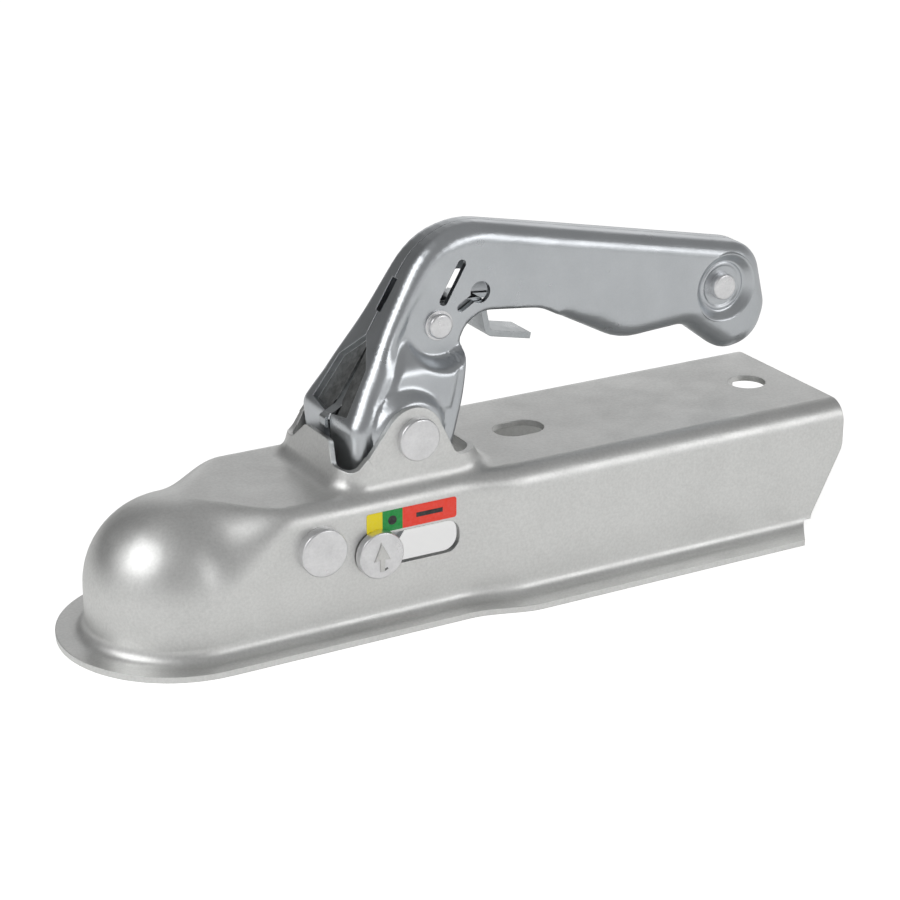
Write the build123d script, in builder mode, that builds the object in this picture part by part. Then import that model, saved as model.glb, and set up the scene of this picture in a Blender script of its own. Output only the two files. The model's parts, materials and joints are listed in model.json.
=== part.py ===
import os
from math import cos, pi, radians, sin, tan

from build123d import *

os.makedirs("parts", exist_ok=True)

# Frame: millimetres, nose towards -X, drawbar towards +X, up is +Z, flange bottom at z = 0

# Pressed body
sheet = 2.0
body_length = 264.0
rear_x = body_length / 2
nose_rim = 38.0
ball_x = nose_rim - rear_x
front_wall = 29.0
rear_wall = 32.5
rear_rim = 43.0
body_height = 43.0
dome_corner = 27.0
front_corner = 6.0
rear_corner = 7.0
flare = 4.0
dome_end = -68.0
step_start = -13.0
step_end = 10.0
loft_steps = 4

# Slanted rear end of the walls and flange
rear_cut_height = 27.5
rear_cut_foot = 117.0
rear_cut_round = 8.0
rear_flange_cut = 6.5

# Drawbar bolt holes in the top
bolt_hole_x = 115.5
bolt_hole = 12.8
bolt_slot_x = 25.5
bolt_slot_length = 17.5

# Pivots, as (x, z)
pivot_x, pivot_z = -24.3, 57.0
jaw_x, jaw_z = -60.0, 29.6
slider_x, slider_z = -41.0, 24.8
trigger_x, trigger_z = -8.5, 86.0
rivet_x, rivet_z = 98.6, 81.5

# Collar round the handle opening, with its ears and lips
ear_outer = 24.0
ear_inner = ear_outer - sheet
ear_round = 9.6
ear_feet = (-44.2, -10.4)
ear_peak = (-23.3, 75.2)
collar_front, collar_middle, collar_rear = -50.5, -24.0, 2.2
collar_round = 9.0
collar_fold = 5.0
collar_low = 48.9
collar_play = 0.2
collar_blank = 80.0
valley_round = 4.0
lip_lean, rear_lean = 18.0, 28.0
lip_end = -46.3
lip_height = 6.1
lip_flat, lip_foot = 7.9, 13.5
lip_round = 3.0

# Side slot for the sliding pin
slider_shank = 10.0
slot_height = 10.6
slot_front = -46.8
slot_rear = -12.4
slot_round = 4.6
running = 0.05

# Handle
grip_half = 8.5
arm_half = 17.2
boss_half = ear_inner - 0.3
boss_radius = 12.5
rim_round = 4.0
seam_gap = 0.1
front_lean = 31.5
front_top = (-17.7, 102.3)
flare_round = 6.0
neck_flare = [(grip_half, 83.5), (13.6, 77.5), (arm_half, 66)]
neck_rear = 9.0
rim_end = 44.0
lobe_radius = 10.4
lobe_draft = 40.0
pad_height = 1.0
dish_radius = 11.5
dish_depth = 3.0
dish_draft = 45.0
rivet_shank = 6.0
arm_slot_play = 0.6
slit_width = 3.0
keyhole = 7.0
keyhole_leg = 2.7
recess_depth = 1.0
gap_half = 2.6
gap_depth = 12.0
notch_half = 1.6
notch_span = (2.2, 13.6)
boss_draft = 12.0
pad_round = 3.0

arm_slot_low = (slider_x - 0.1, slider_z - 0.3)
arm_slot_high = (slider_x + 1.4, slider_z + 3.7)
slit_ends = ((-0.2, 104.1), (-6.5, 93.3))
keyhole_centre = (6.4, 94.2)
keyhole_end = (-0.4, 90.2)

# Heads of the pins, as diameter and height
pivot_head = (13.6, 2.5)
jaw_head = (15.2, 3.6)
slider_head = (15.0, 3.0)
trigger_head = (9.5, 2.6)
rivet_head = (10.0, 3.2)
head_bevel = 0.5
slider_gap = 0.4
slider_end = 7.0
sleeve_wall = 2.0

# Trigger
trigger_half = 6.1
trigger_sheet = 2.0
tongue_half = 1.9
tab_bend = 2.5

# Ball jaw
jaw_half = 15.0
ball_radius = 25.0
ball_z = body_height - sheet - ball_radius
cup_play = 0.3
jaw_seated = 3.0
jaw_gap = 0.3

# Springs: mean radius and wire diameter, where the coil starts, and the two legs
coil_turns = 3
coil_spread = 1.1
wire_flats = 8
handle_coil, handle_wire, handle_coil_end, handle_legs = 9.3, 2.4, 13.0, (16.5, 11.0)
trigger_coil, trigger_wire, trigger_coil_end, trigger_legs = 5.0, 1.0, 1.8, (8.0, 7.0)

# Label beside the slot
label_front, label_rear = -44.5, -13.6
label_low, label_high = 31.0, 37.7
label_thickness = 0.15
label_round = 0.9


def section_plane(x):
    return Plane(origin=(x, 0, 0), x_dir=(0, 1, 0), z_dir=(1, 0, 0))


def side_plane(y):
    return Plane.XZ.offset(-y)


def eased(start, end, share):
    return start + (end - start) * share**2 * (3 - 2 * share)


# Closed outline from corners given as (x, z, radius)
def rounded_outline(corners):
    points = [(x, z) for x, z, radius in corners]
    FilletPolyline(*points, radius=[radius for x, z, radius in corners], close=True)


# Half of the hat shaped section, filled, and drawn in from the outer face by the inset
def half_section(x, wall, corner, rim, inset):
    wall, corner, bend = wall - inset, corner - inset, flare + inset
    roof, foot = body_height - inset, sheet + flare
    with BuildSketch(section_plane(x)) as section:
        with BuildLine():
            Line((0, roof), (wall - corner, roof))
            CenterArc((wall - corner, roof - corner), corner, 0, 90)
            Line((wall, roof - corner), (wall, foot))
            CenterArc((wall + bend, foot), bend, 180, 90)
            Polyline(
                (wall + bend, foot - bend),
                (rim, foot - bend),
                (rim, -inset),
                (0, -inset),
                (0, roof),
            )
        make_face()
    return section.sketch


# Blank of the collar: two halves that share their side wall, one leaning back and one leaning forward
def collar_block(inset):
    base = body_height / 2
    with BuildPart() as block:
        for end, lean in ((collar_front + inset, lip_lean), (collar_rear - inset, -rear_lean)):
            tilt = radians(lean)
            corner = (end - (body_height - base) * tan(tilt), ear_outer - inset)
            with BuildSketch(Plane.XY.offset(base)) as plan:
                with BuildLine():
                    Polyline(
                        (corner[0], 0),
                        corner,
                        (collar_middle, corner[1]),
                        (collar_middle, 0),
                        close=True,
                    )
                make_face()
                fillet(plan.vertices().sort_by_distance(corner)[0], collar_round - inset)
            rise = collar_blank + inset - base
            extrude(amount=rise / cos(tilt), dir=(sin(tilt), 0, cos(tilt)))
    return block.part


shares = [step / loft_steps for step in range(loft_steps + 1)]


# Half of the body as a filled form: domed nose, straight front, step, wide rear and the collar
def body_form(inset):
    with BuildPart() as form:
        nose = half_section(ball_x, front_wall, dome_corner, nose_rim, inset)
        revolve(nose, axis=Axis((ball_x, 0, 0), (0, 0, 1)), revolution_arc=90)
        dome = [
            half_section(
                ball_x + (dome_end - ball_x) * share,
                front_wall,
                eased(dome_corner, front_corner, share),
                nose_rim,
                inset,
            )
            for share in shares
        ]
        loft(dome)
        extrude(dome[-1], amount=step_start - dome_end, dir=(1, 0, 0))
        step = [
            half_section(
                step_start + (step_end - step_start) * share,
                eased(front_wall, rear_wall, share),
                eased(front_corner, rear_corner, share),
                eased(nose_rim, rear_rim, share),
                inset,
            )
            for share in shares
        ]
        loft(step)
        extrude(step[-1], amount=rear_x - step_end + inset, dir=(1, 0, 0))
        add(collar_block(inset))

        def at_collar_foot(edge):
            middle = edge.center()
            level = abs(middle.Z - body_height + inset) < collar_play
            inside = collar_front - collar_play < middle.X < collar_rear + collar_play
            return level and inside and middle.Y < ear_outer - inset + collar_play

        fillet(form.edges().filter_by(at_collar_foot), collar_fold + inset)
    return form.part


# Housing: half of the outer form less the inner one, cut to shape and mirrored
with BuildPart() as housing:
    add(body_form(0))
    add(body_form(sheet), mode=Mode.SUBTRACT)

    # Slanted end of the side wall, and the flange cut back beyond it
    with BuildSketch(side_plane(rear_wall + rear_rim)) as rear_slant:
        with BuildLine():
            corner = (rear_x, rear_cut_height)
            Polyline(
                (rear_x, body_height - rear_corner),
                corner,
                (rear_cut_foot, -sheet),
                (rear_x + sheet, -sheet),
                (rear_x + sheet, body_height - rear_corner),
                close=True,
            )
        make_face()
        fillet(rear_slant.vertices().sort_by_distance(corner)[0], rear_cut_round)
    extrude(amount=2 * rear_rim, mode=Mode.SUBTRACT)
    with BuildSketch(Plane.XY.offset(-sheet)):
        with BuildLine():
            Polyline(
                (rear_cut_foot + sheet, rear_wall - sheet),
                (rear_cut_foot - rear_flange_cut, rear_rim),
                (rear_cut_foot - rear_flange_cut, rear_rim + sheet),
                (rear_x, rear_rim + sheet),
                (rear_x, rear_wall - sheet),
                close=True,
            )
        make_face()
    extrude(amount=3 * sheet, mode=Mode.SUBTRACT)

    # Collar trimmed to the ears, with a low edge before and behind them, and to the front lip
    lean = radians(lip_lean)
    lip_top = lip_end + (collar_blank - collar_low) * tan(lean)
    collar_end = collar_rear + sheet
    with BuildSketch(side_plane(rear_rim)):
        with BuildLine():
            edge = FilletPolyline(
                (lip_end, collar_low),
                (ear_feet[0], collar_low),
                ear_peak,
                (ear_feet[1], collar_low),
                (collar_end, collar_low),
                radius=[valley_round, ear_round, valley_round],
            )
            Polyline(edge @ 1, (collar_end, collar_blank), (lip_top, collar_blank), edge @ 0)
        make_face()
    extrude(amount=rear_rim + sheet, mode=Mode.SUBTRACT)
    lip_plane = Plane(
        origin=(lip_end, 0, collar_low),
        x_dir=(0, 1, 0),
        z_dir=(cos(lean), 0, -sin(lean)),
    )
    with BuildSketch(lip_plane):
        with BuildLine():
            edge = FilletPolyline(
                (-sheet, lip_height),
                (lip_flat, lip_height),
                (lip_foot, 0),
                (rear_rim, 0),
                radius=lip_round,
            )
            Polyline(edge @ 1, (rear_rim, rear_rim), (-sheet, rear_rim), edge @ 0)
        make_face()
    extrude(amount=-ear_outer, mode=Mode.SUBTRACT)
    with BuildSketch(side_plane(ear_outer + sheet)):
        with Locations((pivot_x, pivot_z)):
            Circle(slider_shank / 2)
    extrude(amount=3 * sheet, mode=Mode.SUBTRACT)

    # Slot for the sliding pin and hole for the jaw pin in the wall
    with BuildSketch(side_plane(front_wall + sheet)) as wall_holes:
        with Locations(((slot_front + slot_rear) / 2, slider_z)):
            RectangleRounded(slot_rear - slot_front, slot_height, slot_round)
        with Locations((jaw_x, jaw_z)):
            Circle(slider_shank / 2)
    extrude(amount=3 * sheet, mode=Mode.SUBTRACT)
    mirror(about=Plane.XZ)

    # Bolt hole and bolt slot for the drawbar
    with BuildSketch(Plane.XY.offset(body_height - 2 * sheet)):
        with Locations((bolt_hole_x, 0)):
            Circle(bolt_hole / 2)
        with Locations((bolt_slot_x, 0)):
            SlotOverall(bolt_slot_length, bolt_hole)
    extrude(amount=3 * sheet, mode=Mode.SUBTRACT)

housing.part.label = "housing"
export_step(housing.part, "parts/housing.step")


def front_plane():
    lean = radians(front_lean)
    return Plane(
        origin=(front_top[0], 0, front_top[1]),
        x_dir=(0, -1, 0),
        z_dir=(-cos(lean), 0, sin(lean)),
    )


# Side outline of the handle: grip, bent neck and the arm that reaches down to the sliding pin
handle_corners = [
    (-7.7, 118.7, 26),
    (111.6, 93.9, 12),
    (119.2, 61.8, 13),
    (101.5, 58.9, 9),
    (85.2, 71.1, 10),
    (61.0, 69.0, 22),
    (29.0, 85.3, 16),
    (2.2, 88.3, 10.5),
    (-8.5, 46.0, 6),
    (-30.5, 15.5, 8),
    (-51.5, 14.5, 9),
    (-51.0, 31.0, 8),
    (-43.4, 43.0, 6),
    (-43.4, 60.2, 6),
]


# Mouth below the grip and neck where the rim is left off, for the trigger and the arms
handle_mouth = [
    (36, 96),
    (36, 60),
    (12, 60),
    (5, 5),
    (-60, 5),
    (-60, rim_end),
    (-35, rim_end),
    (-12, 80),
    (-6, 96),
]


def handle_outline(y, inset):
    with BuildSketch(side_plane(y)) as outline:
        with BuildLine():
            rounded_outline(handle_corners)
        make_face()
        if inset:
            offset(amount=-inset)
            with BuildLine():
                Polyline(*handle_mouth, close=True)
            make_face()
    return outline.sketch


# Space beside the grip and neck: narrow above, flared out to the arms below
def beside_neck(inset):
    with BuildSketch(section_plane(handle_corners[10][0] - sheet)) as space:
        with BuildLine():
            FilletPolyline(
                (inset - grip_half, handle_corners[0][1]),
                *[(inset - half, z) for half, z in neck_flare],
                (inset - arm_half, 0),
                radius=flare_round,
            )
            Polyline(
                (inset - arm_half, 0),
                (-2 * arm_half, 0),
                (-2 * arm_half, handle_corners[0][1]),
                (inset - grip_half, handle_corners[0][1]),
            )
        make_face()
    return space.sketch


neck_length = neck_rear - handle_corners[10][0] + sheet


def beside_grip(inset):
    with BuildSketch(side_plane(inset - grip_half)) as space:
        with Locations((neck_rear, 0)):
            Rectangle(body_length, body_length, align=(Align.MIN, Align.CENTER))
    return space.sketch


def round_at(x, z, y, radius):
    with BuildSketch(side_plane(y)) as disc:
        with Locations((x, z)):
            Circle(radius)
    return disc.sketch


def slot_between(first, second, width):
    SlotArc(Edge.make_line(first, second), width)


# Hollow of a handle half, open at the seam, below the grip and below the neck
with BuildPart() as hollow:
    extrude(handle_outline(sheet, sheet), amount=arm_half, dir=(0, -1, 0))
    extrude(beside_neck(sheet), amount=neck_length, dir=(1, 0, 0), mode=Mode.SUBTRACT)
    extrude(beside_grip(sheet), amount=arm_half, dir=(0, -1, 0), mode=Mode.SUBTRACT)
    draft = radians(lobe_draft)
    lobe_inside = lobe_radius + sheet / cos(draft) - sheet * tan(draft)
    lobe = round_at(trigger_x, trigger_z, sheet - grip_half, lobe_inside)
    extrude(lobe, amount=arm_half, dir=(0, -1, 0), taper=-lobe_draft, mode=Mode.SUBTRACT)
    dish = round_at(rivet_x, rivet_z, sheet + dish_depth - grip_half, dish_radius)
    extrude(dish, amount=arm_half, dir=(0, -1, 0), mode=Mode.SUBTRACT)

# Pressed pad on the flared neck, a little proud of it
pad_corners = [(-22.5, 83), (-33.5, 64.5), (-8.5, 61), (-4, 74), (-2, 83)]
with BuildPart() as pad:
    with BuildSketch(side_plane(-grip_half)):
        with BuildLine():
            FilletPolyline(*pad_corners, radius=pad_round, close=True)
        make_face()
    extrude(amount=arm_half)
    extrude(beside_neck(-pad_height), amount=neck_length, dir=(1, 0, 0), mode=Mode.SUBTRACT)

# Recess and catch gap in the front: across, and down the leaning front face
recess_corners = [(0, -21.5), (9, -31), (11.5, -46.5), (0, -48.5)]
gap_corners = [(0, -21.5), (notch_half, -43), (gap_half, -44.5), (gap_half, -75), (0, -75)]

# Near half of the handle
with BuildPart() as handle_half_near:
    extrude(handle_outline(-seam_gap, 0), amount=arm_half - seam_gap, dir=(0, -1, 0))
    extrude(beside_neck(0), amount=neck_length, dir=(1, 0, 0), mode=Mode.SUBTRACT)
    extrude(beside_grip(0), amount=arm_half, dir=(0, -1, 0), mode=Mode.SUBTRACT)
    outer_edges = handle_half_near.edges().filter_by(lambda edge: edge.center().Y < 0.1 - grip_half)
    rim_edges = outer_edges.filter_by(lambda edge: abs(edge.tangent_at(0.5).X) < 0.999)
    fillet(rim_edges, rim_round)
    add(pad.part)
    extrude(
        round_at(trigger_x, trigger_z, -grip_half, lobe_radius),
        amount=arm_half,
        dir=(0, -1, 0),
        taper=-lobe_draft,
        mode=Mode.SUBTRACT,
    )
    add(hollow.part, mode=Mode.SUBTRACT)

    # Boss that runs against the ear, and the dish of the rear rivet
    boss_height = boss_half - arm_half + sheet
    boss = round_at(pivot_x, pivot_z, sheet - arm_half, boss_radius)
    extrude(boss, amount=boss_height, dir=(0, -1, 0), taper=boss_draft)
    extrude(
        round_at(rivet_x, rivet_z, -grip_half, dish_radius),
        amount=-dish_depth,
        taper=dish_draft,
        mode=Mode.SUBTRACT,
    )

    # Recess, notch and catch gap in the front
    with BuildSketch(front_plane()) as front_recess:
        with BuildLine():
            Polyline(*recess_corners, close=True)
        make_face()
    extrude(amount=-recess_depth, mode=Mode.SUBTRACT)
    with BuildSketch(front_plane()) as front_gap:
        with BuildLine():
            Polyline(*gap_corners, close=True)
        make_face()
        with Locations((0, -sum(notch_span) / 2)):
            Rectangle(2 * notch_half, notch_span[1] - notch_span[0])
    extrude(amount=-gap_depth, mode=Mode.SUBTRACT)

    # Pivot bore, arm slot, rivet holes, slit and keyhole
    with BuildSketch(side_plane(-2 * arm_half)) as side_holes:
        with Locations((pivot_x, pivot_z)):
            Circle(slider_shank / 2)
        with Locations((trigger_x, trigger_z), (rivet_x, rivet_z)):
            Circle(rivet_shank / 2)
        slot_between(arm_slot_low, arm_slot_high, slider_shank + 2 * arm_slot_play)
        slot_between(*slit_ends, slit_width)
        slot_between(keyhole_centre, keyhole_end, keyhole_leg)
        with Locations(keyhole_centre):
            Circle(keyhole / 2)
    extrude(amount=-2 * arm_half, mode=Mode.SUBTRACT)

handle_half_near.part.label = "handle_half_near"
export_step(handle_half_near.part, "parts/handle_half_near.step")

# Far half of the handle, the mirror image
with BuildPart() as handle_half_far:
    mirror(handle_half_near.part, about=Plane.XZ)
handle_half_far.part.label = "handle_half_far"
export_step(handle_half_far.part, "parts/handle_half_far.step")


# Half outline of a pin with a head at each end, about an axis along Y
def pin_profile(x, z, shank, reach, head):
    width, height = head
    with BuildSketch(Plane.XY.offset(z)) as profile:
        with BuildLine():
            Polyline(
                (x, -reach - height),
                (x + width / 2 - head_bevel, -reach - height),
                (x + width / 2, -reach - height + head_bevel),
                (x + width / 2, -reach),
                (x + shank / 2 - running, -reach),
                (x + shank / 2 - running, 0),
                (x, 0),
                close=True,
            )
        make_face()
        mirror(about=Plane.XZ)
    return profile.sketch


def cross_axis(x, z):
    return Axis((x, 0, z), (0, 1, 0))


def tube_section(x, z, start, bore, outside):
    with BuildSketch(side_plane(start)) as ring:
        with Locations((x, z)):
            Circle(outside / 2)
            Circle(bore / 2, mode=Mode.SUBTRACT)
    return ring.sketch


# Pin through the ears that the handle turns on
with BuildPart() as pivot_pin:
    profile = pin_profile(pivot_x, pivot_z, slider_shank, ear_outer, pivot_head)
    revolve(profile, axis=cross_axis(pivot_x, pivot_z))
pivot_pin.part.label = "pivot_pin"
export_step(pivot_pin.part, "parts/pivot_pin.step")

# Pin through the walls that the ball jaw turns on
with BuildPart() as jaw_pin:
    profile = pin_profile(jaw_x, jaw_z, slider_shank, front_wall, jaw_head)
    revolve(profile, axis=cross_axis(jaw_x, jaw_z))
jaw_pin.part.label = "jaw_pin"
export_step(jaw_pin.part, "parts/jaw_pin.step")

# Tubes that keep the jaw in the middle of its pin
spacer_length = front_wall - sheet - jaw_half - 2 * jaw_gap
spacer_outside = slider_shank + 1.5 * sleeve_wall
with BuildPart() as jaw_spacer_near:
    ring = tube_section(jaw_x, jaw_z, sheet + jaw_gap - front_wall, slider_shank, spacer_outside)
    extrude(ring, amount=spacer_length, dir=(0, 1, 0))
    wall_end = jaw_spacer_near.edges().group_by(Axis.Y)[0].sort_by(SortBy.LENGTH)[-1]
    chamfer(wall_end, sleeve_wall / 2)
jaw_spacer_near.part.label = "jaw_spacer_near"
export_step(jaw_spacer_near.part, "parts/jaw_spacer_near.step")
with BuildPart() as jaw_spacer_far:
    mirror(jaw_spacer_near.part, about=Plane.XZ)
jaw_spacer_far.part.label = "jaw_spacer_far"
export_step(jaw_spacer_far.part, "parts/jaw_spacer_far.step")

# Sleeve between the handle arms
sleeve_half = arm_half - sheet
with BuildPart() as pivot_sleeve:
    outside = slider_shank + 2 * sleeve_wall
    ring = tube_section(pivot_x, pivot_z, -sleeve_half, slider_shank, outside)
    extrude(ring, amount=2 * sleeve_half, dir=(0, 1, 0))
pivot_sleeve.part.label = "pivot_sleeve"
export_step(pivot_sleeve.part, "parts/pivot_sleeve.step")

# Rivet in the dished end of the grip, with its spacer
with BuildPart() as rear_rivet:
    profile = pin_profile(rivet_x, rivet_z, rivet_shank, grip_half - dish_depth, rivet_head)
    revolve(profile, axis=cross_axis(rivet_x, rivet_z))
rear_rivet.part.label = "rear_rivet"
export_step(rear_rivet.part, "parts/rear_rivet.step")
rear_half = grip_half - dish_depth - sheet
with BuildPart() as rear_spacer:
    outside = rivet_shank + 2 * sleeve_wall
    ring = tube_section(rivet_x, rivet_z, -rear_half, rivet_shank, outside)
    extrude(ring, amount=2 * rear_half, dir=(0, 1, 0))
rear_spacer.part.label = "rear_spacer"
export_step(rear_spacer.part, "parts/rear_spacer.step")

# Rivet that the trigger turns on, with its spacer
with BuildPart() as trigger_pin:
    profile = pin_profile(trigger_x, trigger_z, rivet_shank, grip_half, trigger_head)
    revolve(profile, axis=cross_axis(trigger_x, trigger_z))
trigger_pin.part.label = "trigger_pin"
export_step(trigger_pin.part, "parts/trigger_pin.step")
trigger_inner = trigger_half - trigger_sheet
with BuildPart() as trigger_sleeve:
    outside = rivet_shank + sleeve_wall
    ring = tube_section(trigger_x, trigger_z, jaw_gap - trigger_inner, rivet_shank, outside)
    extrude(ring, amount=2 * (trigger_inner - jaw_gap), dir=(0, 1, 0))
trigger_sleeve.part.label = "trigger_sleeve"
export_step(trigger_sleeve.part, "parts/trigger_sleeve.step")

# Trigger: two cheeks on the rivet, a finger tab below the grip and a nose that meets the lip
cheek_corners = [(-17, 80, 3), (-17, 92, 3), (7, 92, 2), (9.6, 86.8, 1), (4, 87.2, 3)]
tab_path = [(-2, 91), (8.2, 91), (10.6, 79.5), (26, 76.2)]
tongue_corners = [
    (-18.5, 91, 2),
    (-15, 91, 2),
    (-15, 80, 4),
    (-33.5, 66.5, 4),
    (-38, 58, 3),
    (-41, 55, 1),
    (-44.6, 57, 1),
    (-44.6, 60, 1),
    (-38.9, 62.8, 3),
]
bridge_low, bridge_high = 82, 90
with BuildPart() as trigger:
    with BuildSketch(side_plane(-trigger_half)) as cheek:
        with BuildLine():
            rounded_outline(cheek_corners)
        make_face()
    extrude(amount=-trigger_sheet)
    mirror(about=Plane.XZ)
    with BuildSketch(side_plane(-trigger_half)) as tab:
        with BuildLine():
            FilletPolyline(*tab_path, radius=tab_bend)
        trace(line_width=trigger_sheet)
    extrude(amount=-2 * trigger_half)
    with BuildSketch(side_plane(-tongue_half)) as tongue:
        with BuildLine():
            rounded_outline(tongue_corners)
        make_face()
    extrude(amount=-2 * tongue_half)
    with BuildSketch(side_plane(-trigger_half)) as bridge:
        with Locations((cheek_corners[0][0], bridge_low)):
            Rectangle(trigger_sheet, bridge_high - bridge_low, align=(Align.MIN, Align.MIN))
    extrude(amount=-2 * trigger_half)
    with BuildSketch(side_plane(-grip_half)):
        with Locations((trigger_x, trigger_z)):
            Circle(rivet_shank / 2)
    extrude(amount=-2 * grip_half, mode=Mode.SUBTRACT)
trigger.part.label = "trigger"
export_step(trigger.part, "parts/trigger.step")

# Sliding pin with its indicator head, and the cap on its far end
slider_reach = front_wall + slider_gap
with BuildPart() as indicator_pin:
    with BuildSketch(side_plane(-slider_reach)):
        with Locations((slider_x, slider_z)):
            Circle(slider_head[0] / 2)
    extrude(amount=slider_head[1])
    chamfer(indicator_pin.edges().group_by(Axis.Y)[0], head_bevel)
    shank = round_at(slider_x, slider_z, -slider_reach, slider_shank / 2 - running)
    extrude(shank, amount=2 * slider_reach, dir=(0, 1, 0))
    stub = round_at(slider_x, slider_z, slider_reach, slider_end / 2 - running)
    extrude(stub, amount=slider_head[1], dir=(0, 1, 0))
indicator_pin.part.label = "indicator_pin"
export_step(indicator_pin.part, "parts/indicator_pin.step")
with BuildPart() as indicator_cap:
    ring = tube_section(slider_x, slider_z, slider_reach, slider_end, slider_head[0])
    extrude(ring, amount=slider_head[1], dir=(0, 1, 0))
    rim = indicator_cap.edges().group_by(Axis.Y)[-1].sort_by(SortBy.LENGTH)[-1]
    chamfer(rim, head_bevel)
indicator_cap.part.label = "indicator_cap"
export_step(indicator_cap.part, "parts/indicator_cap.step")

# Ball jaw: hub on its pin, back face for the sliding pin and a cup that hooks under the ball
seated = radians(jaw_seated)
ball_dx, ball_dz = ball_x - jaw_x, ball_z - jaw_z
cup_x = jaw_x + ball_dx * cos(seated) + ball_dz * sin(seated)
cup_z = jaw_z - ball_dx * sin(seated) + ball_dz * cos(seated)
jaw_back = slider_x - slider_shank / 2 - jaw_gap
jaw_corners = [
    (-54, 39, 6),
    (jaw_back, 31, 4),
    (jaw_back, 18, 4),
    (-58, 7, 6),
    (-77, 4.5, 1),
    (-79, 8, 1),
    (-70, 22, 4),
    (-69.5, 39, 6),
]
with BuildPart() as ball_jaw:
    with BuildSketch(side_plane(-jaw_half)):
        with BuildLine():
            rounded_outline(jaw_corners)
        make_face()
        with Locations((jaw_x, jaw_z)):
            Circle(slider_shank / 2, mode=Mode.SUBTRACT)
    extrude(amount=-2 * jaw_half)
    with Locations((cup_x, 0, cup_z)):
        Sphere(ball_radius + cup_play, mode=Mode.SUBTRACT)
ball_jaw.part.label = "ball_jaw"
export_step(ball_jaw.part, "parts/ball_jaw.step")

# Label with the indicator colours, on the near wall
with BuildPart() as indicator_label:
    with BuildSketch(side_plane(-front_wall)):
        with Locations(((label_front + label_rear) / 2, (label_low + label_high) / 2)):
            RectangleRounded(label_rear - label_front, label_high - label_low, label_round)
    extrude(amount=label_thickness)
indicator_label.part.label = "indicator_label"
export_step(indicator_label.part, "parts/indicator_label.step")


# Path of a torsion spring: half turns round an axis along Y from the bottom, a quarter turn and two legs
def spring_path(place, radius, wire, legs):
    pitch = wire * coil_spread

    def point(turn):
        angle = -2 * pi * turn
        rise = pitch * min(turn, coil_turns)
        return place.from_local_coords(Vector(radius * cos(angle), radius * sin(angle), rise))

    def arc(start, end):
        return Edge.make_three_point_arc(point(start), point((start + end) / 2), point(end))

    turns = [arc(half / 2, half / 2 + 0.5) for half in range(2 * coil_turns)]
    turns.append(arc(coil_turns, coil_turns + 0.25))
    first, last = turns[0], turns[-1]
    start_leg = Edge.make_line(first @ 0 - (first % 0) * legs[0], first @ 0)
    end_leg = Edge.make_line(last @ 1, last @ 1 + (last % 1) * legs[1])
    return Wire([start_leg, *turns, end_leg])


def coil_plane(x, y, z):
    return Plane(origin=(x, y, z), x_dir=(0, 0, -1), z_dir=(0, -1, 0))


# Spring on the pivot sleeve that holds the handle down
with BuildPart() as handle_spring:
    place = coil_plane(pivot_x, handle_coil_end, pivot_z)
    path = spring_path(place, handle_coil, handle_wire, handle_legs)
    with BuildSketch(Plane(origin=path @ 0, z_dir=path % 0)):
        RegularPolygon(handle_wire / 2, wire_flats)
    sweep(path=path)
handle_spring.part.label = "handle_spring"
export_step(handle_spring.part, "parts/handle_spring.step")

# Spring on the trigger sleeve that holds the catch at the lip
with BuildPart() as trigger_spring:
    place = coil_plane(trigger_x, trigger_coil_end, trigger_z)
    path = spring_path(place, trigger_coil, trigger_wire, trigger_legs)
    with BuildSketch(Plane(origin=path @ 0, z_dir=path % 0)):
        RegularPolygon(trigger_wire / 2, wire_flats)
    sweep(path=path)
trigger_spring.part.label = "trigger_spring"
export_step(trigger_spring.part, "parts/trigger_spring.step")
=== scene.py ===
import json
import math

import bmesh
import bpy
from mathutils import Matrix, Vector
from mathutils.bvhtree import BVHTree


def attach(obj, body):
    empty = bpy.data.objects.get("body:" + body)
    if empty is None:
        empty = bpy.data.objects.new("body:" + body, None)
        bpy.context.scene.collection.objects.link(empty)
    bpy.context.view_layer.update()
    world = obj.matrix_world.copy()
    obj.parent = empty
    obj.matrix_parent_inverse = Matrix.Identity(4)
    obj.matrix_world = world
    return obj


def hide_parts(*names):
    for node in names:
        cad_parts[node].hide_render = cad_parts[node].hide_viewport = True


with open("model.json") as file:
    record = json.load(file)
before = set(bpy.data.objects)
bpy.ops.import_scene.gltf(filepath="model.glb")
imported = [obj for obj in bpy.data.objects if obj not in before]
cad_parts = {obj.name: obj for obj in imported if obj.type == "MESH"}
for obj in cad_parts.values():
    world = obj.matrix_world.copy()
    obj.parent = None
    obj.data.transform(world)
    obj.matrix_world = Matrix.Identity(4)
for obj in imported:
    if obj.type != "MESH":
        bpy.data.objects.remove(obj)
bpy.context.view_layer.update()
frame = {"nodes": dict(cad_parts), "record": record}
nodes = frame["nodes"]
mm = 0.001

# Where the pins and the keyhole sit, as (x, z) in millimetres, and how close two points count as one
axes = {
    "pivot": (-24.3, 57.0), "jaw": (-60.0, 29.6), "slider": (-41.0, 24.8),
    "trigger": (-8.5, 86.0), "rivet": (98.6, 81.5), "keyhole": (6.4, 94.2),
}
touching = 1e-4
print("frame loaded:", len(nodes), "nodes")


# Small helpers for node trees

def newMaterial(name):
    material = bpy.data.materials.new(name)
    material.use_nodes = True
    tree = material.node_tree
    tree.nodes.clear()
    output = tree.nodes.new("ShaderNodeOutputMaterial")
    shader = tree.nodes.new("ShaderNodeBsdfPrincipled")
    tree.links.new(shader.outputs["BSDF"], output.inputs["Surface"])
    return material, tree, shader


def objectCoords(tree):
    return tree.nodes.new("ShaderNodeTexCoord").outputs["Object"]


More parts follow.
